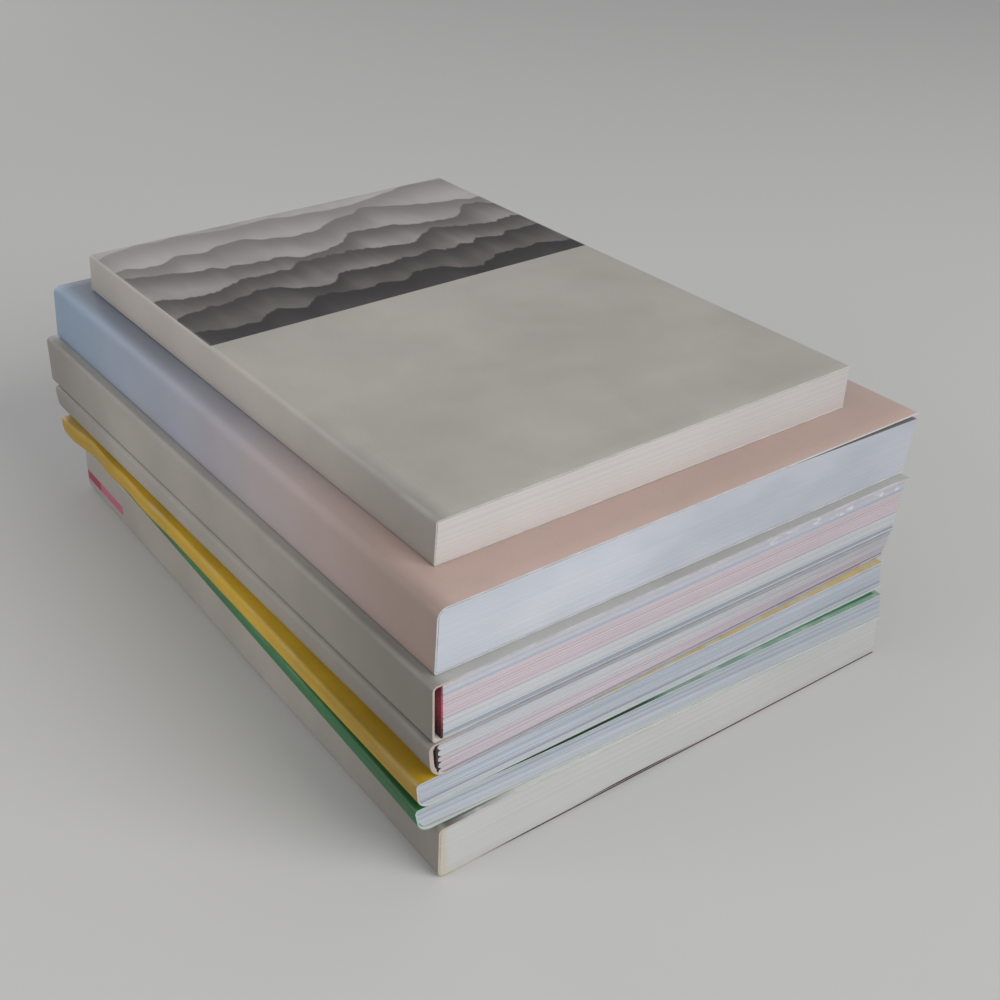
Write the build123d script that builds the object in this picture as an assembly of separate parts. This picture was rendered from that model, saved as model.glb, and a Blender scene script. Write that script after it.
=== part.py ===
from build123d import *
import os
from dataclasses import dataclass
from math import atan2, degrees

# A stack of seven paperback books, all with their spines on one side. Millimetres.
# +X runs along the spines towards the foot of the books, +Y from the spines to the
# fore-edges, +Z up. The origin is under the middle of the stack, on its resting face.
#
# Each book has a frame of its own: x = 0 at the foot, y = 0 where the front cover folds
# into the spine, z = 0 under the back cover. Sections are drawn as (y, z) across the
# spine and run along it. A book rests on the top face of the one below, so the books,
# which are slightly wedge-shaped, stay in contact all the way up.


@dataclass
class Book:
    """One paperback. Its thicknesses are over both covers."""

    name: str
    length: float  # head to foot, along the spine
    width: float  # spine to fore-edge, along the front cover
    spine_thickness: float
    fore_thickness: float
    card: float  # thickness of the cover card
    front_fold: float  # outside radius where the front cover turns into the spine
    back_fold: float  # outside radius where the back cover turns into the spine
    spine_lean: float  # how far the back cover's fold lies inside the front cover's
    fore_lean: float  # how far the back cover's fore-edge lies outside the front cover's
    corner: tuple  # x and y of the spine's foot end, from the top book's
    turn: float  # degrees about the vertical
    hollow: float = 0.0  # gap between the cover's spine and the back of the pages
    lining: float = 0.0  # strip glued along the back of the pages
    signatures: int = 0  # folded sections whose backs show as separate bumps
    lift: float = 0.0  # how far the front cover stands off the pages at the fore-edge
    lift_reach: float = 0.0  # how far in from the fore-edge it has lifted


BOTTOM_BOOK = Book(
    "bottom_book", length=231.7, width=156.9, spine_thickness=16.6, fore_thickness=14.1,
    card=0.6, front_fold=1.4, back_fold=2.4, spine_lean=-0.8, fore_lean=0.7,
    corner=(18.9, -13.1), turn=-0.94,
)
GREEN_BOOK = Book(
    "green_book", length=230.0, width=160.8, spine_thickness=7.6, fore_thickness=9.3,
    card=0.5, front_fold=1.2, back_fold=3.2, spine_lean=1.2, fore_lean=1.2,
    corner=(16.9, -18.9), turn=-2.04,
)
YELLOW_BOOK = Book(
    "yellow_book", length=227.4, width=161.7, spine_thickness=8.1, fore_thickness=9.5,
    card=0.5, front_fold=1.2, back_fold=3.4, spine_lean=0.5, fore_lean=1.0,
    corner=(17.6, -18.5), turn=-0.89,
)
THIN_GREY_BOOK = Book(
    "thin_grey_book", length=231.4, width=163.1, spine_thickness=10.7, fore_thickness=7.2,
    card=0.6, front_fold=1.8, back_fold=4.6, spine_lean=0.6, fore_lean=-2.4,
    corner=(18.4, -14.9), turn=0.29,
    hollow=1.6, lining=0.4, signatures=5,
)
THICK_GREY_BOOK = Book(
    "thick_grey_book", length=235.2, width=165.2, spine_thickness=16.5, fore_thickness=17.2,
    card=0.6, front_fold=1.4, back_fold=1.2, spine_lean=-0.2, fore_lean=-2.0,
    corner=(18.1, -13.7), turn=0.31,
    hollow=2.2, lining=0.5,
)
PASTEL_BOOK = Book(
    "pastel_book", length=230.4, width=165.0, spine_thickness=18.0, fore_thickness=18.9,
    card=0.5, front_fold=2.6, back_fold=1.0, spine_lean=-1.2, fore_lean=-2.4,
    corner=(14.8, -9.9), turn=0.10,
    lift=1.1, lift_reach=36.0,
)
TOP_BOOK = Book(
    "top_book", length=205.0, width=140.0, spine_thickness=12.2, fore_thickness=13.0,
    card=0.4, front_fold=0.9, back_fold=0.8, spine_lean=-1.0, fore_lean=-0.3,
    corner=(0.0, 0.0), turn=0.0,
)
# From the table up.
STACK = [BOTTOM_BOOK, GREEN_BOOK, YELLOW_BOOK, THIN_GREY_BOOK, THICK_GREY_BOOK,
         PASTEL_BOOK, TOP_BOOK]

# The front cover of the top book is the only one with nothing on it, so it opens. It
# bends at a score, and the strip between the spine and the score is glued to the pages.
SCORE_FROM_SPINE = 6.0
SCORE_GAP = 0.1


def taper(book):
    """Rise of the front cover for each millimetre from the spine."""
    return (book.fore_thickness - book.spine_thickness) / book.width


def rectangle(y_from, y_to, z_from, z_to):
    middle = Pos((y_from + y_to) / 2, (z_from + z_to) / 2)
    return middle * Rectangle(y_to - y_from, z_to - z_from)


def outside(book, overhang=0.0):
    """The closed book's section, carried on past its fore-edge by the overhang."""
    fore_top = (book.width + overhang, book.fore_thickness + taper(book) * overhang)
    fore_foot = (book.width + book.fore_lean + overhang, 0)
    spine_top = (0, book.spine_thickness)
    spine_foot = (book.spine_lean, 0)
    folds = [book.front_fold, book.back_fold]
    room_for_folds = 0.9 * book.spine_thickness / sum(folds)
    radii = [fold * min(1, room_for_folds) for fold in folds]
    card_line = FilletPolyline(fore_top, spine_top, spine_foot, fore_foot, radius=radii)
    fore_edge = Line(fore_foot, fore_top)
    return make_face(card_line.edges() + fore_edge.edges())


def inside(book):
    """The space that the folded card encloses, up to the fore-edge."""
    past_fore_edge = 4 * book.card
    space = offset(outside(book, past_fore_edge), -book.card, kind=Kind.INTERSECTION)
    return space & outside(book)


def cover_section(book):
    return outside(book) - inside(book)


def pages_back(book):
    """Where the back of the pages stands, from the front cover's fold."""
    return book.card + book.hollow


def page_section(book):
    """The pages fill the cover, less the hollow at the spine and the lifted corner."""
    past = book.width + 10
    above = book.spine_thickness + book.fore_thickness
    section = inside(book)
    if book.hollow:
        block = rectangle(pages_back(book), past, 0, above)
        if book.signatures:
            pitch = (book.spine_thickness - 2 * book.card) / book.signatures
            block = rectangle(pages_back(book) + pitch / 2, past, 0, above)
            for number in range(book.signatures):
                centre = Pos(pages_back(book) + pitch / 2, book.card + (number + 0.5) * pitch)
                block += centre * Circle(pitch / 2)
        section &= block
    if book.lift:
        start = book.width - book.lift_reach
        start_height = book.spine_thickness + taper(book) * start - book.card
        fore_height = book.fore_thickness - book.card
        wedge = Polygon(
            (start, start_height), (past, fore_height - book.lift),
            (past, above), (start, above), align=None,
        )
        section -= wedge
    return section


def lining_section(book):
    """The strip on the back of the pages, with the glue between the signatures."""
    depth = book.lining
    if book.signatures:
        depth += (book.spine_thickness - 2 * book.card) / book.signatures / 2
    front = pages_back(book) - book.lining
    strip = rectangle(front, front + depth, 0, book.spine_thickness)
    return (inside(book) & strip) - page_section(book)


def opening_panel(book):
    """The part of the section where the front cover bends up from its score."""
    return rectangle(
        SCORE_FROM_SPINE, book.width + 10, book.spine_thickness / 2, 2 * book.spine_thickness
    )


def along_spine(book, section):
    return extrude(Plane.YZ * section, amount=-book.length)


def book_pieces(book):
    """The solids of one book in its own frame, under their node names."""
    pieces = {}
    cover = cover_section(book)
    if book is TOP_BOOK:
        panel = opening_panel(book)
        pieces["front_cover"] = Pos(SCORE_GAP, 0) * panel & cover
        pieces["spine_and_back_cover"] = cover - panel
    else:
        pieces["cover"] = cover
    pieces["pages"] = page_section(book)
    if book.lining:
        pieces["spine_lining"] = lining_section(book)
    return {
        f"{book.name}_{piece}": along_spine(book, section)
        for piece, section in pieces.items()
    }


def build_stack():
    """Every solid in place, and the frame of the top book."""
    solids = {}
    level = Location()
    for book in STACK:
        across = Location(book.corner) * Location((0, 0, 0), (0, 0, book.turn))
        seat = level * across
        for name, solid in book_pieces(book).items():
            solids[name] = seat * solid
        tilt = degrees(atan2(book.fore_thickness - book.spine_thickness, book.width))
        top_face = Location((0, 0, book.spine_thickness)) * Location((0, 0, 0), (tilt, 0, 0))
        level = seat * top_face * across.inverse()
    return solids, seat


solids, top_seat = build_stack()
whole = Compound(list(solids.values())).bounding_box()
to_origin = Location((-whole.center().X, -whole.center().Y, -whole.min.Z))

os.makedirs("parts", exist_ok=True)
for name, solid in solids.items():
    export_step(to_origin * solid, f"parts/{name}.step")

score_height = TOP_BOOK.spine_thickness + taper(TOP_BOOK) * SCORE_FROM_SPINE
score = to_origin * top_seat * Location((0, SCORE_FROM_SPINE + SCORE_GAP / 2, score_height))
along = Vector(Plane(score).x_dir)
print("hinge at", [round(value / 1000, 6) for value in score.position])
print("hinge axis", [round(value, 6) for value in along])
print("size", [round(value, 2) for value in whole.size])
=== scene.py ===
from dataclasses import dataclass
from math import atan2, cos, exp, hypot, radians, sin, sqrt
from random import Random

import bmesh
import bpy
from mathutils import Euler, Matrix, Vector


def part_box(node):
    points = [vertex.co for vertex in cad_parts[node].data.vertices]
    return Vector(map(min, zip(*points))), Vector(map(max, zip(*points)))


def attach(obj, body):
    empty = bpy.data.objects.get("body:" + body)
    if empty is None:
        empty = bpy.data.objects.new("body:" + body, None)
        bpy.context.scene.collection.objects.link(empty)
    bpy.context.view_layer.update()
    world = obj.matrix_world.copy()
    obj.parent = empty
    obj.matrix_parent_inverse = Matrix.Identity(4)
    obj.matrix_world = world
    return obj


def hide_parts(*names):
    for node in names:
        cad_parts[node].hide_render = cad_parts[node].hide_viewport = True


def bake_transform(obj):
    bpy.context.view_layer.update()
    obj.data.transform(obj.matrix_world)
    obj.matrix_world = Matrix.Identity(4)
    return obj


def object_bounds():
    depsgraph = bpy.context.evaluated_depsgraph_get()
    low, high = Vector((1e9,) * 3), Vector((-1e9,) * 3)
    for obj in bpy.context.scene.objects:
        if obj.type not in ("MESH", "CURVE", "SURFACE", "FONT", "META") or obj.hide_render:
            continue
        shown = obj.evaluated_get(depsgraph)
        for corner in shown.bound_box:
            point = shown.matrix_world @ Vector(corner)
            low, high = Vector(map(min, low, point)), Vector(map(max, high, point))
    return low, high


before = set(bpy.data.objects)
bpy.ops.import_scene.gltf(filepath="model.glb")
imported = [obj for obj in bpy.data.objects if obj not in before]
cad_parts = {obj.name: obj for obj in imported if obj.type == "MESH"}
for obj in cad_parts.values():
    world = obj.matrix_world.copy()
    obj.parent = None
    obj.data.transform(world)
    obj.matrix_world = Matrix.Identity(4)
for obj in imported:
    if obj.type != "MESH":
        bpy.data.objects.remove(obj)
cad_low, cad_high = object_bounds()

# ---------------------------------------------------------------- the bottom book
# A thick paperback of smooth white paper. Its cover is one sheet of pale card, folded
# twice round the spine and glued to the back of the pages, and it has yellowed a little
# along its cut edges. A crimson stripe is printed across the spine near the head.


@dataclass
class Book:
    """One paperback, in metres. Its thicknesses are over both covers."""

    length: float
    width: float
    spine: float  # thickness along the spine
    fore: float  # thickness along the fore-edge
    card: float
    front_fold: float
    back_fold: float
    spine_lean: float  # how far the back fold lies inside the front one
    fore_lean: float  # how far the back cover reaches past the front one
    corner: tuple  # its foot corner at the spine, from the bottom book's
    turn: float
    hollow: float = 0.0  # gap between the card's spine and the back of the pages

    def rise(self):
        """Rise of the front cover for each metre from the spine."""
        return (self.fore - self.spine) / self.width


class Pile:
    """The books laid so far. Each rests on the top face of the one below."""

    def __init__(self, foot_corner):
        self.level = Matrix.Translation(foot_corner)

    def lay(self, book):
        across = Matrix.Translation((*book.corner, 0)) @ Matrix.Rotation(book.turn, 4, "Z")
        seat = self.level @ across
        tilt = atan2(book.fore - book.spine, book.width)
        top_face = Matrix.Translation((0, 0, book.spine)) @ Matrix.Rotation(tilt, 4, "X")
        self.level = seat @ top_face @ across.inverted()
        return seat


def select(kind, wanted):
    """Selects the wanted verts, edges or faces of the mesh in edit mode, and no others."""
    bpy.ops.mesh.select_mode(type={"verts": "VERT", "edges": "EDGE", "faces": "FACE"}[kind])
    bpy.ops.mesh.select_all(action="DESELECT")
    shape = bmesh.from_edit_mesh(bpy.context.edit_object.data)
    for part in getattr(shape, kind):
        if wanted(part):
            part.select_set(True)
    shape.select_flush_mode()
    bmesh.update_edit_mesh(bpy.context.edit_object.data)


def runs_along(axis):
    """A test for edges that lie along an axis."""

    def test(edge):
        run = edge.verts[1].co - edge.verts[0].co
        return abs(run[axis]) > 0.8 * run.length

    return test


def shift(kind, wanted, offset):
    select(kind, wanted)
    bpy.ops.transform.translate(value=offset)


def box_blank(name, low, high):
    """A box between two corners, left in edit mode to be shaped."""
    bpy.ops.object.select_all(action="DESELECT")
    middle = (Vector(low) + Vector(high)) / 2
    bpy.ops.mesh.primitive_cube_add(size=1, location=middle)
    blank = bpy.context.object
    blank.name = name
    blank.scale = Vector(high) - Vector(low)
    bpy.ops.object.transform_apply(location=True, rotation=False, scale=True)
    bpy.ops.object.mode_set(mode="EDIT")
    return blank


def apply_modifier(piece, kind, **settings):
    modifier = piece.modifiers.new(kind.title(), kind)
    for setting, value in settings.items():
        setattr(modifier, setting, value)
    bpy.ops.object.modifier_apply(modifier=modifier.name)


def ripple(piece, patch, depth, squeeze=1.0):
    """Sinks the surface here and there by up to a depth, in patches of about one size.

    squeeze is how high the patches are, as a share of their width.
    """
    ruler = bpy.data.objects.new("ruler", None)
    ruler.scale = (1, 1, squeeze)
    bpy.context.collection.objects.link(ruler)
    bpy.context.view_layer.update()
    clouds = bpy.data.textures.new("ripple", "CLOUDS")
    clouds.noise_scale = patch
    apply_modifier(
        piece, "DISPLACE", texture=clouds, texture_coords="OBJECT",
        texture_coords_object=ruler, strength=depth, mid_level=1.0,
    )
    bpy.data.objects.remove(ruler)
    bpy.data.textures.remove(clouds)


CARD_ROWS = 47  # cuts across the card, from foot to head
CARD_COLUMNS = 23  # cuts along each cover
SPINE_COLUMNS = 5  # cuts along the spine
CARD_BEND = 6  # facets round each fold


def folded_sheet(book, name):
    """The outer skin of the cover in the book's own frame, in edit mode."""
    sheet = box_blank(name, (-book.length, 0, 0), (0, book.width, book.spine))
    select("faces", lambda face: abs(face.normal.x) > 0.5 or face.normal.y > 0.5)
    bpy.ops.mesh.delete(type="FACE")
    middle_y, middle_z = book.width / 2, book.spine / 2
    shift("verts", lambda v: v.co.y > middle_y and v.co.z > middle_z,
          (0, 0, book.fore - book.spine))
    shift("verts", lambda v: v.co.y < middle_y and v.co.z < middle_z, (0, book.spine_lean, 0))
    shift("verts", lambda v: v.co.y > middle_y and v.co.z < middle_z, (0, book.fore_lean, 0))
    for radius, above in ((book.front_fold, True), (book.back_fold, False)):
        select("edges", lambda edge: runs_along(0)(edge) and all(
            v.co.y < middle_y and (v.co.z > middle_z) == above for v in edge.verts))
        bpy.ops.mesh.bevel(offset=radius, segments=CARD_BEND, affect="EDGES")
    select("edges", runs_along(0))
    bpy.ops.mesh.subdivide(number_cuts=CARD_ROWS)
    select("edges", lambda edge: runs_along(1)(edge) and edge.calc_length() > middle_y)
    bpy.ops.mesh.subdivide(number_cuts=CARD_COLUMNS)
    select("edges", lambda edge: runs_along(2)(edge) and edge.calc_length() > book.spine / 4)
    bpy.ops.mesh.subdivide(number_cuts=SPINE_COLUMNS)
    return sheet


def nudge(near, offset, reach):
    """Pushes the point of the mesh nearest a place, and drags its surroundings along."""
    shape = bmesh.from_edit_mesh(bpy.context.edit_object.data)
    grabbed = min((v.co - Vector(near)).length for v in shape.verts)
    select("verts", lambda v: (v.co - Vector(near)).length < grabbed + 1e-6)
    bpy.ops.transform.translate(
        value=offset, use_proportional_edit=True, proportional_edit_falloff="SMOOTH",
        proportional_size=reach, use_proportional_connected=True,
    )


def sink(piece, book, depth, from_spine, reach):
    """Sinks the front of a book at the foot, deepest so far out from the spine."""
    bpy.ops.object.mode_set(mode="OBJECT")
    for point in piece.data.vertices:
        away = hypot(point.co.x, point.co.y - from_spine) / reach
        point.co.z -= depth * exp(-away * away) * point.co.z / book.spine


CARD_WAVE = 0.00006  # how far the card is from flat
CARD_WAVE_LENGTH = 0.05
CUT_ROUNDING = 0.15  # of the card's thickness


def make_card(sheet, book, printed, cut_edge, inside, **thicker):
    """Gives the sheet its thickness, its cut edges and its finishes: print, cut edge, inside.

    thicker holds Solidify's settings for card that isn't of one thickness.
    """
    bpy.ops.object.mode_set(mode="OBJECT")
    for finish in (printed, cut_edge, inside):
        sheet.data.materials.append(finish)
    ripple(sheet, CARD_WAVE_LENGTH, CARD_WAVE)
    apply_modifier(sheet, "SOLIDIFY", **{"thickness": book.card, **thicker}, offset=-1,
                   use_even_offset=True, material_offset=2, material_offset_rim=1)
    apply_modifier(sheet, "BEVEL", width=CUT_ROUNDING * book.card, segments=2,
                   limit_method="ANGLE", angle_limit=radians(50))
    bpy.ops.object.shade_smooth_by_angle(angle=radians(40))


def settle(piece, seat):
    """Keeps each point's place in the book's own frame, for patterns, and lays the piece."""
    own = piece.data.attributes.new("own_place", "FLOAT_VECTOR", "POINT")
    for vertex, mark in zip(piece.data.vertices, own.data):
        mark.vector = vertex.co
    piece.data.transform(seat)


PAGE_CLEARANCE = 0.00009  # slack between the pages and the card
PAGE_COLUMNS = 31  # cuts from the spine to the fore-edge
PAGE_ROWS = 23  # cuts from foot to head
PAGE_WAVE_LENGTH = 0.03
PAGE_WAVE_SQUEEZE = 0.02


def page_block(book, name, layers, trim, seed, back_shape, finish):
    """The pages: layers of sheets, each trimmed a hair differently, in the book's own frame.

    back_shape gives how far in the back of the pages stands at each height.
    """
    back = book.card + book.hollow + PAGE_CLEARANCE
    low_z = book.card + PAGE_CLEARANCE
    high_z = book.spine - book.card - PAGE_CLEARANCE
    block = box_blank(name, (-book.length, back, low_z), (0, book.width, high_z))
    middle_y, middle_z = book.width / 2, book.spine / 2
    shift("verts", lambda v: v.co.y > middle_y and v.co.z > middle_z,
          (0, 0, book.fore - book.spine))
    shift("verts", lambda v: v.co.y < middle_y and v.co.z < middle_z,
          (0, 0 if book.hollow else book.spine_lean, 0))
    shift("verts", lambda v: v.co.y > middle_y and v.co.z < middle_z, (0, book.fore_lean, 0))
    select("edges", runs_along(2))
    bpy.ops.mesh.subdivide(number_cuts=layers - 1)
    chance = Random(seed)
    pitch = (high_z - low_z) / layers
    fore_pitch = (book.fore - 2 * low_z) / layers
    for number in range(layers + 1):
        height = low_z + number * pitch
        shift("verts", lambda v: v.co.y < middle_y and abs(v.co.z - height) < pitch / 4,
              (0, back_shape(height), 0))
        foot, head, fore = (trim * chance.random() ** 2 for _ in range(3))
        fore_height = low_z + number * fore_pitch
        level = (lambda v: abs(v.co.z - (fore_height if v.co.y > middle_y else height))
                 < pitch / 4)
        shift("verts", lambda v: level(v) and v.co.x > -book.length / 2, (-foot, 0, 0))
        shift("verts", lambda v: level(v) and v.co.x < -book.length / 2, (head, 0, 0))
        shift("verts", lambda v: level(v) and v.co.y > middle_y, (0, -fore, 0))
    select("edges", runs_along(1))
    bpy.ops.mesh.subdivide(number_cuts=PAGE_COLUMNS)
    select("edges", runs_along(0))
    bpy.ops.mesh.subdivide(number_cuts=PAGE_ROWS)
    bpy.ops.object.mode_set(mode="OBJECT")
    block.data.materials.append(finish)
    ripple(block, PAGE_WAVE_LENGTH, 0.5 * trim, squeeze=PAGE_WAVE_SQUEEZE)
    bpy.ops.object.shade_smooth_by_angle(angle=radians(50))
    return block


def fold_shape(book):
    """How far in the round folds of the card push the back of the pages, at each height."""

    def depth(height):
        deepest = 0.0
        for radius, from_face in ((book.front_fold, book.spine - height),
                                  (book.back_fold, height)):
            inner = radius - book.card
            into = inner - (from_face - book.card)
            if into > 0:
                reach = book.card + inner - sqrt(max(inner ** 2 - into ** 2, 0))
                deepest = max(deepest, reach - book.card - book.hollow)
        return deepest

    return depth


def ink(code):
    """A colour as a screen shows it, such as "a08a2c", in the shader's linear values."""
    parts = [int(code[i:i + 2], 16) / 255 for i in (0, 2, 4)]
    return (*[c / 12.92 if c < 0.04045 else ((c + 0.055) / 1.055) ** 2.4 for c in parts], 1)


class Wire:
    """A socket of a finish. Arithmetic on it adds Math nodes."""

    def __init__(self, finish, socket):
        self.finish, self.socket = finish, socket

    def math(self, operation, *values):
        return self.finish.node(
            "ShaderNodeMath", {"operation": operation}, dict(enumerate(values)))

    def __add__(self, other):
        return self.math("ADD", self, other)

    def __sub__(self, other):
        return self.math("SUBTRACT", self, other)

    def __rsub__(self, other):
        return self.math("SUBTRACT", other, self)

    def __mul__(self, other):
        return self.math("MULTIPLY", self, other)

    def __truediv__(self, other):
        return self.math("DIVIDE", self, other)

    def __gt__(self, other):
        return self.math("GREATER_THAN", self, other)

    def __lt__(self, other):
        return self.math("LESS_THAN", self, other)

    def __abs__(self):
        return self.math("ABSOLUTE", self)

    __radd__ = __add__
    __rmul__ = __mul__

    def least(self, other):
        return self.math("MINIMUM", self, other)

    def spread(self, low, high, to_low=0.0, to_high=1.0):
        """The value stretched smoothly from one range to another, and held at its ends."""
        return self.finish.node(
            "ShaderNodeMapRange", {"interpolation_type": "SMOOTHSTEP"},
            {"Value": self, "From Min": low, "From Max": high,
             "To Min": to_low, "To Max": to_high},
        )


class Finish:
    """A material in the making."""

    def __init__(self, name):
        self.material = bpy.data.materials.new(name)
        self.material.use_nodes = True
        self.shader = self.material.node_tree.nodes["Principled BSDF"]
        self.place = self.node(
            "ShaderNodeAttribute", {"attribute_name": "own_place"}, {}, "Vector")

    def node(self, kind, settings, inputs, output=0):
        """Adds a node: its settings first, then the values and links of its sockets."""
        made = self.material.node_tree.nodes.new(kind)
        for setting, value in settings.items():
            if setting == "stops":
                while len(made.color_ramp.elements) < len(value):
                    made.color_ramp.elements.new(1)
                for element, (position, colour) in zip(made.color_ramp.elements, value):
                    element.position, element.color = position, colour
            else:
                setattr(made, setting, value)
        for socket, value in inputs.items():
            self.plug(made.inputs[socket], value)
        return Wire(self, made.outputs[output])

    def plug(self, socket, value):
        if isinstance(value, Wire):
            self.material.node_tree.links.new(value.socket, socket)
        else:
            socket.default_value = value

    def axes(self):
        """Distances from the foot, from the spine and up from the back cover."""
        parts = [self.node("ShaderNodeSeparateXYZ", {}, {0: self.place}, i) for i in range(3)]
        return 0 - parts[0], parts[1], parts[2]

    def noise(self, scale, stretch=(1, 1, 1), detail=3.0, shift=0.0):
        """Clouds from 0 to 1, so many to the metre, stretched along the book's own axes."""
        spot = self.node("ShaderNodeMapping", {}, {
            "Vector": self.place, "Scale": stretch, "Location": (shift, shift, shift)})
        return self.node(
            "ShaderNodeTexNoise", {}, {"Vector": spot, "Scale": scale, "Detail": detail})

    def mix(self, share, first, second):
        """Two colours mixed. At a share of 1 it is the second."""
        return self.node("ShaderNodeMix", {"data_type": "RGBA"},
                         {0: share, 6: first, 7: second}, 2)

    def shaded(self, colour, amount):
        """A colour made darker or lighter by a varying amount."""
        start = colour if isinstance(colour, Wire) else colour[:3]
        return self.node("ShaderNodeVectorMath", {"operation": "SCALE"}, {0: start, 3: amount})

    def ramp(self, value, stops):
        return self.node("ShaderNodeValToRGB", {"stops": stops}, {0: value})

    def surface(self, colour, roughness, height=None, depth=0.0):
        """Ends the material: what varies goes in by link, what doesn't as a plain value."""
        self.plug(self.shader.inputs["Base Color"], colour)
        self.plug(self.shader.inputs["Roughness"], roughness)
        if height is not None:
            self.plug(self.shader.inputs["Normal"], self.node(
                "ShaderNodeBump", {}, {"Strength": 1.0, "Distance": depth, "Height": height}))
        return self.material


# the spine darker near its ends: partly thumbing dirt, partly painted shade
THUMBED_AND_SHADED_AT_FOOT = (0.08, 0.32)  # how far along the spine from its end, and how much darker
THUMBED_AND_SHADED_AT_HEAD = (0.05, 0.08)


def printed_card(book, name, print_on, worn, gloss=0.42, mottle=0.10,
                 scuffs=(0.0001, 0.0008, 0.3, 0.004)):
    """Printed card: the print, faint cloudiness, ends of the spine darkened partly as thumbing dirt
    and partly as painted shade, and wear.

    scuffs are where the wear along the cut edges starts to fade and ends, its share, and how
    far from the spine it begins.
    """
    finish = Finish(name)
    foot, across, up = finish.axes()
    clouds = finish.noise(28, detail=4)
    fibre = finish.noise(900, detail=5)
    colour = print_on(finish, foot, across, up)
    shade = (clouds.spread(0.3, 0.7, 1 - mottle, 1 + mottle / 2)
             * fibre.spread(0.2, 0.8, 0.985, 1.015))
    # the spine darker towards its ends: partly thumbing dirt, partly painted shade
    thumbed_and_shaded = (foot.spread(0, THUMBED_AND_SHADED_AT_FOOT[0], THUMBED_AND_SHADED_AT_FOOT[1], 0)
               + (book.length - foot).spread(0, THUMBED_AND_SHADED_AT_HEAD[0], THUMBED_AND_SHADED_AT_HEAD[1], 0))
    colour = finish.shaded(colour, shade * (1 - thumbed_and_shaded * across.spread(0.0, 0.006, 1, 0)))
    front_fold = abs(across) + abs(up - book.spine)
    back_fold = abs(across) + abs(up)
    cut_edge = foot.least(book.length - foot).least(book.width - across)
    rub = finish.noise(160, (0.35, 1, 1), detail=5, shift=3.0).spread(0.42, 0.68)
    fade_from, fade_to, share, from_spine = scuffs
    worn_here = (front_fold.least(back_fold).spread(0.0004, 0.0016, 1, 0) * 0.3 * rub
                 + cut_edge.spread(fade_from, fade_to, 1, 0) * share * (0.6 + 0.4 * rub)
                 * across.spread(from_spine, from_spine + 0.016))
    colour = finish.mix(worn_here, colour, worn)
    roughness = gloss + 0.12 * clouds + 0.1 * worn_here
    height = fibre * 0.5 + finish.noise(90, detail=2, shift=7.0) * 2
    return finish.surface(colour, roughness, height, 0.00003)


def cut_card(name, at_spine, further_on, under=None):
    """The card where it was cut: fibrous and matte, and cleaner round the spine.

    under is the colour of the back cover's edge, where it differs.
    """
    finish = Finish(name)
    foot, across, up = finish.axes()
    stain = finish.noise(160, detail=5).spread(0.35, 0.7, 0.86, 1.06)
    fibre = finish.noise(2600, (0.3, 0.3, 1.6), detail=4)
    colour = finish.mix(across.spread(0.002, 0.012), at_spine, further_on)
    if under:
        colour = finish.mix((up < 0.002) * across.spread(0.002, 0.03), colour, under)
    colour = finish.shaded(colour, stain)
    return finish.surface(colour, 0.8 + 0.15 * fibre, fibre, 0.00004)


def inside_card(name, colour):
    """The unprinted inside of the cover: smooth, with the faint clouds of its pulp."""
    finish = Finish(name)
    pulp = finish.noise(60, detail=5)
    fibre = finish.noise(1500, detail=4)
    colour = finish.shaded(colour, pulp.spread(0.3, 0.7, 0.975, 1.01))
    return finish.surface(colour, 0.7 + 0.1 * fibre, fibre, 0.00002)


PLAIN_INSIDE = inside_card("card_inside", ink("d2d1cd"))


def paper_edges(book, name, bands, sheets, relief, grain_seed):
    """Trimmed page edges: bands of tinted paper up the block, the lines of the sheets, and painted
    shade towards the fore-edge.

    sheets is how much the lines darken the paper, and relief how deep they are cut.
    """
    finish = Finish(name)
    foot, across, up = finish.axes()
    thickness = book.spine + book.rise() * across
    wander = finish.noise(14, (1, 1, 0), detail=2, shift=grain_seed).spread(0, 1, -0.012, 0.012)
    share = up / thickness + wander
    lines = finish.noise(10, (1, 1, 560), detail=6, shift=grain_seed + 2)
    groups = finish.noise(8, (1, 1, 75), detail=3, shift=grain_seed + 5)
    clouds = finish.noise(22, detail=3, shift=grain_seed)
    colour = bands(finish, share, foot, across)
    shade = (lines.spread(0.35, 0.65, 1 - sheets, 1 + 0.4 * sheets)
             * groups.spread(0.36, 0.5, 1 - 0.9 * sheets, 1)
             * clouds.spread(0.3, 0.7, 0.965, 1.02))
    # painted shade: the page edges darker towards the fore-edge
    fore_edge_shade = (across / book.width).spread(0.15, 1.0, 1.02, 0.87)
    colour = finish.shaded(colour, shade * fore_edge_shade)
    return finish.surface(colour, 0.75 + 0.2 * lines, lines + groups * 1.5, relief)


bottom_book = Book(
    length=0.2317, width=0.1569, spine=0.0166, fore=0.0141, card=0.0006,
    front_fold=0.0014, back_fold=0.0024, spine_lean=-0.0008, fore_lean=0.0007,
    corner=(0, 0), turn=radians(-0.94),
)
cover_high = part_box("bottom_book_cover")[1]
reach = bottom_book.width + bottom_book.fore_lean
pile = Pile((
    cover_high.x + reach * sin(bottom_book.turn),
    cover_high.y + bottom_book.length * sin(bottom_book.turn) - reach * cos(bottom_book.turn),
    0,
))
seat = pile.lay(bottom_book)

STRIPE = (0.0043, 0.0078)  # from the back cover up
STRIPE_END = 0.0325  # from the head
FOOT_STRIP = 0.0035  # along the front cover's foot: painted shadow near the spine, under the green book's overhang, then pale further out
BOTTOM_DIP = 0.0006  # how far the front fold has sunk at the foot
BOTTOM_DIP_REACH = 0.016


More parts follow.
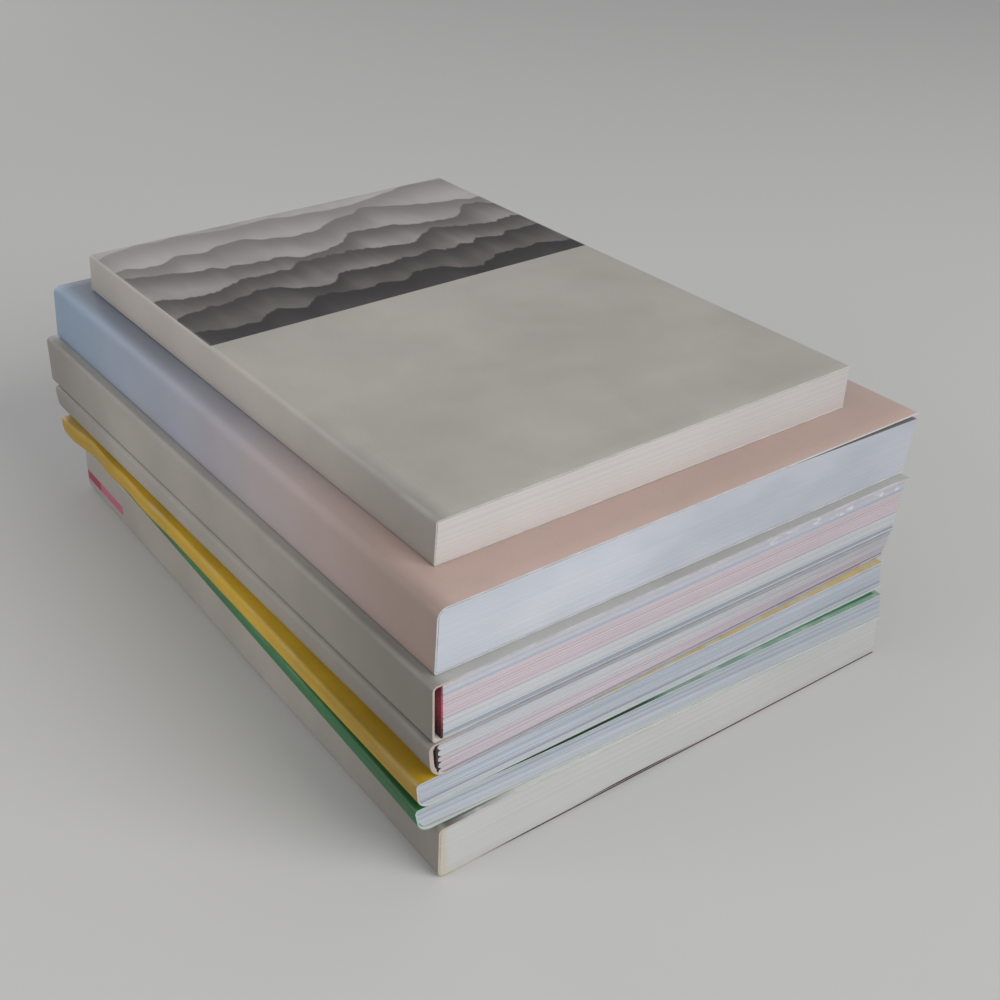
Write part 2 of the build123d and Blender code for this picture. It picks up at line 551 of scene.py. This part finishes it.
def bottom_print(finish, foot, across, up):
    field = finish.mix(across.spread(0, 0.02), ink("a9a29a"), ink("b2ada5"))
    # painted shadow: the foot strip is dark near the spine, where the green book overhangs it, and
    # pale further out
    foot_strip_shadow_to_pale = finish.mix(across.spread(0.012, 0.030), ink("605d59"), ink("c9c8c4"))
    field = finish.mix((foot < FOOT_STRIP) * across.spread(0.0008, 0.003), field, foot_strip_shadow_to_pale)
    from_head = bottom_book.length - foot
    on_stripe = ((up > STRIPE[0]) * (up < STRIPE[1]) * (from_head < STRIPE_END)
                 * (across < 0.001))
    crimson = finish.mix(from_head.spread(0.012, 0.013), ink("a33150"), ink("c0637f"))
    return finish.mix(on_stripe, field, crimson)


sheet = folded_sheet(bottom_book, "bottom_book_cover_card")
nudge((-0.10, 0, 0.004), (0, -0.0002, 0), 0.07)
sink(sheet, bottom_book, BOTTOM_DIP, 0.0, BOTTOM_DIP_REACH)
make_card(
    sheet, bottom_book,
    printed_card(bottom_book, "bottom_book_print", bottom_print, ink("cac9c5"),
                 scuffs=(0.0009, 0.0015, 1.0, 0.0)),
    cut_card("bottom_book_cut_card", ink("b9b09e"), ink("bab9b6"), under=ink("453836")),
    PLAIN_INSIDE,
)
settle(sheet, seat)
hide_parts("bottom_book_cover")
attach(sheet, "stack")


# where the painted shadow along the lowest sheets lies
LOW_SHADOW_SPAN = (0.030, 0.060, 0.065, 0.100)  # from the spine: starts, full, still full, ends


def ivory_bands(finish, share, foot, across):
    """Ivory paper, with a painted shadow along the foot edge of its lowest sheets, where the book
    meets the floor.
    """
    paper = finish.mix(share.spread(0.0, 0.25), ink("b1b0ac"), ink("b8b8b7"))
    paper = finish.mix(across.spread(0.0012, 0.0030), ink("b7b1a5"), paper)
    # painted shadow under the book: the lowest sheets are dark along the foot
    low_shadow = (across.spread(LOW_SHADOW_SPAN[0], LOW_SHADOW_SPAN[1]) * across.spread(LOW_SHADOW_SPAN[2], LOW_SHADOW_SPAN[3], 1, 0)
               * (foot < 0.01))
    return finish.mix((share < 0.040 + 0.045 * low_shadow) * low_shadow, paper, ink("3f3431"))


block = page_block(
    bottom_book, "bottom_book_paper", layers=52, trim=0.00008, seed=11,
    back_shape=fold_shape(bottom_book),
    finish=paper_edges(bottom_book, "bottom_book_paper", ivory_bands, sheets=0.02,
                       relief=0.00004, grain_seed=1),
)
sink(block, bottom_book, BOTTOM_DIP, 0.0, BOTTOM_DIP_REACH)
settle(block, seat)
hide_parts("bottom_book_pages")
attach(block, "stack")

# ---------------------------------------------------------------- the green book
# A thin, floppy paperback on coated paper. Its card is printed solid green all over, and
# shows mint where it was cut. The spine has gone round, so its foot corner droops.

green_book = Book(
    length=0.2300, width=0.1608, spine=0.0076, fore=0.0093, card=0.0005,
    front_fold=0.0012, back_fold=0.0032, spine_lean=0.0012, fore_lean=0.0012,
    corner=(-0.0020, -0.0058), turn=radians(-2.04),
)
seat = pile.lay(green_book)
GREEN_DIP = 0.0005  # where the front cover stands clear of the book above, at the foot
GREEN_DIP_PLACE = 0.042  # from the spine
GREEN_DIP_REACH = 0.022


def green_print(finish, foot, across, up):
    solid = finish.mix(finish.noise(60, (0.2, 1, 1)).spread(0.35, 0.65),
                       ink("2a7441"), ink("1f6435"))
    # painted shadow of the gap at the foot: a dark line on the cover near the spine
    gap_shadow = (foot < 0.006) * across.spread(0.006, 0.016) * across.spread(0.066, 0.084, 1, 0)
    return finish.mix(gap_shadow * 0.9, solid, ink("2c3735"))


sheet = folded_sheet(green_book, "green_book_cover_card")
nudge((0, 0.001, 0.0012), (0, 0.0002, -0.0006), 0.035)
sink(sheet, green_book, GREEN_DIP, GREEN_DIP_PLACE, GREEN_DIP_REACH)
make_card(
    sheet, green_book,
    printed_card(green_book, "green_book_print", green_print, ink("9aaaa5"), gloss=0.40,
                 mottle=0.12, scuffs=(0.0011, 0.0019, 0.97, 0.070)),
    cut_card("green_book_cut_card", ink("a3bdb1"), ink("a9b7b4")), PLAIN_INSIDE,
)
settle(sheet, seat)
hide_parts("green_book_cover")
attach(sheet, "stack")


def green_bands(finish, share, foot, across):
    return finish.ramp(share, [
        (0.07, ink("989da2")), (0.12, ink("b0b5b8")), (0.30, ink("abb0b8")), (0.48, ink("b1b6bd")),
        (0.53, ink("99a0aa")), (0.58, ink("aeb3bb")), (0.68, ink("a8adb8")), (0.73, ink("9299a5")),
        (0.78, ink("adb2b9")), (0.87, ink("a9afb6")),
    ])


block = page_block(
    green_book, "green_book_paper", layers=30, trim=0.00035, seed=12,
    back_shape=fold_shape(green_book),
    finish=paper_edges(green_book, "green_book_paper", green_bands, sheets=0.07,
                       relief=0.0001, grain_seed=2),
)
sink(block, green_book, GREEN_DIP, GREEN_DIP_PLACE, GREEN_DIP_REACH)
settle(block, seat)
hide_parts("green_book_pages")
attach(block, "stack")

# ---------------------------------------------------------------- the yellow book
# A thin, floppy paperback like the green one, with a solid yellow cover that is dirty
# towards its folds. Its spine bulges and waves at the head end, and its cut edge is white.

yellow_book = Book(
    length=0.2274, width=0.1617, spine=0.0081, fore=0.0095, card=0.0005,
    front_fold=0.0012, back_fold=0.0034, spine_lean=0.0005, fore_lean=0.0010,
    corner=(-0.0013, -0.0054), turn=radians(-0.89),
)
seat = pile.lay(yellow_book)


SPINE_WAVES = [  # from the foot, height, how far the spine bulges, and over what reach
    (0.222, 0.005, 0.0022, 0.022),
    (0.190, 0.004, 0.0008, 0.018),
    (0.160, 0.005, 0.0005, 0.020),
]


def yellow_print(finish, foot, across, up):
    shade = finish.noise(70, (0.15, 1, 1.6), detail=3)
    return finish.mix(shade.spread(0.35, 0.65), ink("cda521"), ink("b28b18"))


sheet = folded_sheet(yellow_book, "yellow_book_cover_card")
for from_foot, height, bulge, wave_reach in SPINE_WAVES:
    nudge((-from_foot, 0, height), (0, -bulge, 0), wave_reach)
make_card(
    sheet, yellow_book,
    printed_card(yellow_book, "yellow_book_print", yellow_print, ink("bbb39b"), gloss=0.40,
                 mottle=0.14, scuffs=(0.0024, 0.0046, 0.97, 0.012)),
    cut_card("yellow_book_cut_card", ink("babdbe"), ink("b1b5b9")), PLAIN_INSIDE,
)
settle(sheet, seat)
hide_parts("yellow_book_cover")
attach(sheet, "stack")


def yellow_bands(finish, share, foot, across):
    return finish.ramp(share, [
        (0.05, ink("8f959b")), (0.09, ink("b0b5b9")), (0.21, ink("afb4ba")), (0.235, ink("858c97")),
        (0.27, ink("8b929e")), (0.30, ink("aeb3ba")), (0.58, ink("aaafb9")), (0.63, ink("9ea4b0")),
        (0.68, ink("aeb3bb")), (0.88, ink("a8aeb8")), (0.92, ink("8f9bae")), (0.96, ink("adb1b8")),
    ])


block = page_block(
    yellow_book, "yellow_book_paper", layers=30, trim=0.00035, seed=13,
    back_shape=fold_shape(yellow_book),
    finish=paper_edges(yellow_book, "yellow_book_paper", yellow_bands, sheets=0.065,
                       relief=0.0001, grain_seed=3),
)
settle(block, seat)
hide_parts("yellow_book_pages")
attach(block, "stack")

# ---------------------------------------------------------------- the thin grey book
# A sewn paperback: five folded sections whose backs show as bumps inside the spine, with
# dark glued lining between them, its darkness partly painted shade of the hollow. The grey
# card stands off the sections and curls under at the foot, and its cut edge is pinkish.

thin_grey_book = Book(
    length=0.2314, width=0.1631, spine=0.0107, fore=0.0072, card=0.0006,
    front_fold=0.0018, back_fold=0.0046, spine_lean=0.0006, fore_lean=-0.0024,
    corner=(-0.0005, -0.0018), turn=radians(0.29), hollow=0.0016,
)
seat = pile.lay(thin_grey_book)


def grey_print(finish, foot, across, up):
    # the spine darker towards foot and head: partly grime, partly painted shade
    spine_with_shaded_ends = finish.mix(foot.spread(0, 0.2), ink("9a938a"), ink("a8a199"))
    spine_with_shaded_ends = finish.mix(foot.spread(0.17, 0.232), spine_with_shaded_ends, ink("8f8982"))
    return finish.mix(across.spread(0.0005, 0.004), spine_with_shaded_ends, ink("a9a8a5"))


SECTIONS = 5
CURL = 0.0012  # how thick the spine's card looks where it curls in at the foot
CURL_REACH = 0.02  # along the spine
CURL_DEPTH = 0.0015  # in from the spine


def section_backs(height):
    """How far in the back of the pages stands between the bumps of the folded sections."""
    pitch = (thin_grey_book.spine - 2 * thin_grey_book.card) / SECTIONS
    above = (height - thin_grey_book.card) % pitch - pitch / 2
    bump = pitch / 2 - sqrt(max((pitch / 2) ** 2 - above ** 2, 0))
    return max(bump, fold_shape(thin_grey_book)(height))


sheet = folded_sheet(thin_grey_book, "thin_grey_book_cover_card")
nudge((0, 0.0, 0.004), (0, -0.0004, 0), 0.02)
bpy.ops.object.mode_set(mode="OBJECT")
curl = sheet.vertex_groups.new(name="curl")
for point in sheet.data.vertices:
    if point.co.y < CURL_DEPTH:
        curl.add([point.index], exp(-(point.co.x / CURL_REACH) ** 2), "REPLACE")
make_card(
    sheet, thin_grey_book,
    printed_card(thin_grey_book, "thin_grey_book_print", grey_print, ink("b5b0ab")),
    cut_card("thin_grey_book_cut_card", ink("b5a79e"), ink("9599a2")), PLAIN_INSIDE,
    thickness=CURL, vertex_group="curl", thickness_vertex_group=thin_grey_book.card / CURL,
)
settle(sheet, seat)
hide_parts("thin_grey_book_cover")
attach(sheet, "stack")


def thin_grey_bands(finish, share, foot, across):
    near_spine = finish.ramp(share, [
        (0.06, ink("7d7781")), (0.09, ink("9d96a1")), (0.13, ink("b9b0b5")), (0.41, ink("bbb1b6")),
        (0.44, ink("9b98a0")), (0.47, ink("bbb2b7")), (0.53, ink("bbb5b9")), (0.56, ink("a2a1a9")),
        (0.59, ink("b6b7bb")), (0.90, ink("b3b5ba")), (0.95, ink("9ea3ad")),
    ])
    far_out = finish.ramp(share, [
        (0.08, ink("878191")), (0.14, ink("9f97a7")), (0.21, ink("b2a9b0")), (0.37, ink("b4aaaf")),
        (0.40, ink("918d97")), (0.44, ink("b1adb4")), (0.63, ink("b4b2b6")), (0.68, ink("a0a2ac")),
        (0.73, ink("b1b1b5")), (0.86, ink("aeafb3")), (0.92, ink("959aa4")),
    ])
    return finish.mix(across.spread(0.03, 0.13), near_spine, far_out)


block = page_block(
    thin_grey_book, "thin_grey_book_paper", layers=40, trim=0.0003, seed=14,
    back_shape=section_backs,
    finish=paper_edges(thin_grey_book, "thin_grey_book_paper", thin_grey_bands, sheets=0.055,
                       relief=0.0001, grain_seed=4),
)
settle(block, seat)
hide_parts("thin_grey_book_pages")
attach(block, "stack")


def lining_finish(name, middle, ends, low, high):
    """Cloth lining glued down the back of the pages: woven, and darker towards its ends as painted
    shade of the hollow.
    """
    finish = Finish(name)
    spot = finish.node("ShaderNodeTexCoord", {}, {}, "Object")
    up = finish.node("ShaderNodeSeparateXYZ", {}, {0: spot}, 2)
    weave = finish.node("ShaderNodeTexNoise", {}, {"Vector": spot, "Scale": 1800, "Detail": 3})
    # painted shade: the lining darker towards its upper and lower ends, deep in the hollow
    shaded_towards_ends = abs((up - low) / (high - low) - 0.62).spread(0.05, 0.55)
    colour = finish.mix(shaded_towards_ends, middle, ends)
    colour = finish.mix(weave.spread(0.4, 0.6, 0, 0.25), colour, ends)
    return finish.surface(colour, 0.8 + 0.1 * weave, weave, 0.0001)


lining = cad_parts["thin_grey_book_spine_lining"]
lining_low, lining_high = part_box("thin_grey_book_spine_lining")
lining.data.materials.clear()
# the lining is coloured near black: partly its dark cloth, partly painted shade of the hollow
lining.data.materials.append(lining_finish(
    "dark_lining", ink("463430"), ink("241a18"), lining_low.z, lining_high.z))

# ---------------------------------------------------------------- the thick grey book
# A sewn paperback like the thin one, with a stiff square spine that stands off its pages.
# A red lining shows in the hollow. The pages are in tints: pale, pink, pale and blue-grey.

thick_grey_book = Book(
    length=0.2352, width=0.1652, spine=0.0165, fore=0.0172, card=0.0006,
    front_fold=0.0014, back_fold=0.0012, spine_lean=-0.0002, fore_lean=-0.0020,
    corner=(-0.0008, -0.0006), turn=radians(0.31), hollow=0.0022,
)
seat = pile.lay(thick_grey_book)

sheet = folded_sheet(thick_grey_book, "thick_grey_book_cover_card")
nudge((0, thick_grey_book.width, thick_grey_book.fore), (0.0007, 0.0009, 0), 0.007)
make_card(
    sheet, thick_grey_book,
    printed_card(thick_grey_book, "thick_grey_book_print", grey_print, ink("b5b0ab")),
    cut_card("thick_grey_book_cut_card", ink("baaca1"), ink("b3b4b9"), under=ink("8c9099")),
    PLAIN_INSIDE,
)
settle(sheet, seat)
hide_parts("thick_grey_book_cover")
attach(sheet, "stack")


def thick_grey_bands(finish, share, foot, across):
    tints = finish.ramp(share, [
        (0.045, ink("7c818c")), (0.06, ink("8b93a0")), (0.10, ink("949ca7")), (0.125, ink("b3b6ba")),
        (0.345, ink("b8b9bc")), (0.362, ink("918f97")), (0.38, ink("b9aeb3")), (0.58, ink("bcb0b5")),
        (0.755, ink("b9afb5")), (0.785, ink("a0aaba")), (0.805, ink("a4adba")), (0.83, ink("b1b1b9")),
        (0.95, ink("b6b5bc")),
    ])
    flecks = finish.noise(230, (1, 1.0, 2.6), detail=5, shift=9.0).spread(0.52, 0.68)
    white_flecks = flecks * (share > 0.81) * across.spread(0.06, 0.15, 0.1, 0.9)
    return finish.mix(white_flecks, tints, ink("d2d2d8"))


block = page_block(
    thick_grey_book, "thick_grey_book_paper", layers=60, trim=0.0003, seed=15,
    back_shape=fold_shape(thick_grey_book),
    finish=paper_edges(thick_grey_book, "thick_grey_book_paper", thick_grey_bands, sheets=0.04,
                       relief=0.0001, grain_seed=5),
)
settle(block, seat)
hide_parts("thick_grey_book_pages")
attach(block, "stack")

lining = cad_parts["thick_grey_book_spine_lining"]
lining_low, lining_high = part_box("thick_grey_book_spine_lining")
lining.data.materials.clear()
lining.data.materials.append(lining_finish(
    "red_lining", ink("a84a58"), ink("4a222b"), lining_low.z, lining_high.z))

# ---------------------------------------------------------------- the pastel book
# A thick paperback on heavy bluish-white paper. The card is printed in one soft blend of
# colours, blue at the head, lilac, then dusty rose at the foot. Its front cover has
# lifted off the pages towards the fore-edge.

pastel_book = Book(
    length=0.2304, width=0.1650, spine=0.0180, fore=0.0189, card=0.0005,
    front_fold=0.0026, back_fold=0.0010, spine_lean=-0.0012, fore_lean=-0.0024,
    corner=(-0.0041, 0.0032), turn=radians(0.10),
)
seat = pile.lay(pastel_book)
LIFT = 0.0015  # the front cover stands so far off the pages at the fore-edge
LIFT_REACH = 0.050  # and starts to lift so far in from it


def pastel_print(finish, foot, across, up):
    drift = finish.noise(9, detail=2).spread(0.2, 0.8, -0.10, 0.10)
    blend = finish.ramp(foot / pastel_book.length + drift, [
        (0.04, ink("bda49a")), (0.22, ink("b7a49f")), (0.40, ink("aaa2a6")), (0.58, ink("a1a2ae")),
        (0.76, ink("96a2b4")), (0.96, ink("8ca0b6")),
    ])
    # painted shadow of the top book on the strip of front cover beside the spine
    top_book_shadow = across.spread(0.001, 0.006) * (up > pastel_book.spine / 2) * foot.spread(0.05, 0.20)
    return finish.mix(top_book_shadow * 0.6, blend, ink("67656d"))


sheet = folded_sheet(pastel_book, "pastel_book_cover_card")
make_card(
    sheet, pastel_book,
    printed_card(pastel_book, "pastel_book_print", pastel_print, ink("c6c1bc"), mottle=0.05),
    cut_card("pastel_book_cut_card", ink("bdbfc2"), ink("bfc0c3")),
    # a dark inside to the cover: painted shade in the gap under the lifted cover
    inside_card("endpaper_painted_shade", ink("85827f")),
)
settle(sheet, seat)
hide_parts("pastel_book_cover")
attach(sheet, "stack")


def pastel_bands(finish, share, foot, across):
    patches = finish.noise(30, (1, 1, 2.5), detail=2).spread(0.3, 0.7)
    edges = finish.mix(across.spread(0.01, 0.10), finish.mix(patches, ink("b5b9c1"), ink("bec1c8")),
                       finish.mix(patches, ink("abafb8"), ink("b6b9c1")))
    # painted shade: the top page is dark where it faces up, in the gap under the lifted cover
    normal = finish.node("ShaderNodeNewGeometry", {}, {}, "Normal")
    facing_up_in_shade = finish.node("ShaderNodeSeparateXYZ", {}, {0: normal}, 2) > 0.7
    return finish.mix(facing_up_in_shade, edges, ink("8b8783"))


block = page_block(
    pastel_book, "pastel_book_paper", layers=60, trim=0.00006, seed=16,
    back_shape=fold_shape(pastel_book),
    finish=paper_edges(pastel_book, "pastel_book_paper", pastel_bands, sheets=0.010,
                       relief=0.00002, grain_seed=6),
)
for point in block.data.vertices:
    reached = max(0, point.co.y - pastel_book.width + LIFT_REACH) / LIFT_REACH
    point.co.z -= LIFT * reached * point.co.z / pastel_book.fore
settle(block, seat)
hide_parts("pastel_book_pages")
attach(block, "stack")

# ---------------------------------------------------------------- the top book
# A smaller paperback on cream paper, lying on top of the others. Its matte card is off-white,
# with a picture in black and white over the head half of the front, and a score beside the
# spine where the front cover bends up.

top_book = Book(
    length=0.2050, width=0.1400, spine=0.0122, fore=0.0130, card=0.0004,
    front_fold=0.0009, back_fold=0.0008, spine_lean=-0.0010, fore_lean=-0.0003,
    corner=(-0.0189, 0.0131), turn=0.0,
)
seat = pile.lay(top_book)
SCORE = 0.00605  # from the spine
SCORE_DEPTH = 0.00006
BEND = 0.0011  # the card bends this far to each side of the score
BEND_CUTS = 6  # to each side
PICTURE_FROM_FOOT = 0.1165
HILLS = [  # far to near: the colour along each ridge, and of the mist that it fades into
    ("8f8a87", "b3afac"), ("7b7572", "aaa5a2"), ("625c5a", "9d9895"),
    ("494342", "8b8582"), ("353030", "6f6967"), ("272323", "4a4544"),
]


def top_print(finish, foot, across, up):
    """The off-white field, and a picture of misty hills, ridge behind ridge."""
    field = finish.mix(finish.noise(34, detail=3, shift=4.0).spread(0.3, 0.7),
                       ink("a8a59c"), ink("b2ada6"))
    field = finish.mix(across.spread(0.0002, 0.002), ink("bab2ab"), field)
    height = (foot - PICTURE_FROM_FOOT) / (top_book.length - PICTURE_FROM_FOOT)
    clouds = finish.noise(30, (0.45, 1, 1), detail=4, shift=2.0).spread(0.3, 0.7)
    picture = finish.mix(clouds, ink("9c9794"), ink("bcb8b5"))
    for number, (ridge, mist) in enumerate(HILLS):
        near = number / (len(HILLS) - 1)
        rough = finish.node(
            "ShaderNodeTexNoise", {"noise_dimensions": "1D"},
            {"W": across + 0.37 * number, "Scale": 12 + 22 * near, "Detail": 3 + 4 * near})
        crest = 0.93 - 0.80 * near + (rough - 0.5) * (0.50 - 0.22 * near)
        slopes = finish.noise(45 + 60 * near, (0.5, 1, 1), detail=6, shift=number)
        slopes = slopes.spread(0.3, 0.7)
        mistiness = (crest - height).spread(0.0, 0.26) * (0.75 + 0.5 * slopes)
        hill = finish.mix(mistiness, ink(ridge), ink(mist))
        picture = finish.mix((crest - height).spread(0.0, 0.014), picture, hill)
    on_picture = (height > 0) * (across > 0.0006) * (up > top_book.spine / 2)
    return finish.mix(on_picture, field, picture)


printed = printed_card(top_book, "top_book_print", top_print, ink("bebbb3"), gloss=0.5,
                       mottle=0.06)
cut_edge = cut_card("top_book_cut_card", ink("bbb9b2"), ink("bfbdb8"))
sheet = folded_sheet(top_book, "top_book_front_and_spine_card")
for step in range(2 * BEND_CUTS + 1):
    bpy.ops.mesh.select_all(action="SELECT")
    bpy.ops.mesh.bisect(
        plane_co=(0, SCORE + BEND * (step / BEND_CUTS - 1), 0), plane_no=(0, 1, 0))
shift("verts", lambda v: abs(v.co.y - SCORE) < 1e-5 and v.co.z > top_book.spine / 2,
      (0, 0, -SCORE_DEPTH))
select("faces", lambda face: face.calc_center_median().z < top_book.back_fold * 0.999)
bpy.ops.mesh.separate(type="SELECTED")
back = next(piece for piece in bpy.context.selected_objects if piece is not sheet)
back.name = "top_book_back_card"
bpy.ops.object.mode_set(mode="OBJECT")
for piece in (sheet, back):
    bpy.ops.object.select_all(action="DESELECT")
    piece.select_set(True)
    bpy.context.view_layer.objects.active = piece
    make_card(piece, top_book, printed, cut_edge, PLAIN_INSIDE)
    settle(piece, seat)
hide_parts("top_book_front_cover", "top_book_spine_and_back_cover")
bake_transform(sheet)
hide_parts("top_book_spine_and_back_cover")
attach(back, "stack")


def cream_bands(finish, share, foot, across):
    return finish.mix(share.spread(0.0, 0.35), ink("bfb6b3"), ink("c1bdbb"))


block = page_block(
    top_book, "top_book_paper", layers=44, trim=0.00006, seed=17,
    back_shape=fold_shape(top_book),
    finish=paper_edges(top_book, "top_book_paper", cream_bands, sheets=0.009,
                       relief=0.00002, grain_seed=7),
)
settle(block, seat)
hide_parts("top_book_pages")
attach(block, "stack")

# ---------------------------------------------------------------- floor, light and camera
# A plain pale floor and a soft grey sky. A broad lamp stands off the foot of the books, so
# their foot faces are the brightest, and two faint ones light their spines and heads.

bpy.ops.object.select_all(action="DESELECT")
bpy.ops.mesh.primitive_plane_add(size=12, location=(0, 0, 0))
floor = bpy.context.object
floor.name = "floor"
floor_finish = Finish("pale_floor")
floor.data.materials.append(floor_finish.surface(ink("c8c7c5"), 0.9))

world = bpy.data.worlds.new("studio")
world.use_nodes = True
sky = world.node_tree.nodes["Background"]
sky.inputs["Color"].default_value = (0.96, 0.98, 1.0, 1)
sky.inputs["Strength"].default_value = 0.38
bpy.context.scene.world = world

LAMP_SPREAD = radians(120)  # keeps the lamps off the floor under them
for name, place, size, power in (
    ("key_lamp", Vector((1.36, 0.50, 0.80)), 1.1, 9.5),
    ("spine_lamp", Vector((-0.20, -0.86, 0.44)), 0.6, 1.1),
    ("head_lamp", Vector((-1.35, -0.05, 0.26)), 0.8, 1.5),
):
    lamp = bpy.data.lights.new(name, "AREA")
    lamp.size, lamp.energy = size, power
    lamp.spread = LAMP_SPREAD
    holder = bpy.data.objects.new(name, lamp)
    holder.location = place
    holder.rotation_euler = (-place).to_track_quat("-Z", "Y").to_euler()
    bpy.context.collection.objects.link(holder)

AZIMUTH, ELEVATION, ROLL = radians(53.512), radians(31.310), radians(0.217)
FROM_NEAR_CORNER = Vector((0.19847, -0.12612, 0.16657))  # of the CAD's box, at the top
lens = bpy.data.cameras.new("camera")
lens.lens, lens.sensor_width = 49.24, 36
camera = bpy.data.objects.new("camera", lens)
camera.location = Vector((cad_high.x, cad_low.y, cad_high.z)) + FROM_NEAR_CORNER
looking = Vector((-sin(AZIMUTH) * cos(ELEVATION), cos(AZIMUTH) * cos(ELEVATION), -sin(ELEVATION)))
camera.rotation_mode = "QUATERNION"
camera.rotation_quaternion = (
    looking.to_track_quat("-Z", "Y") @ Euler((0, 0, ROLL)).to_quaternion()
)
bpy.context.collection.objects.link(camera)
bpy.context.scene.camera = camera
bpy.context.scene.view_settings.view_transform = "Standard"
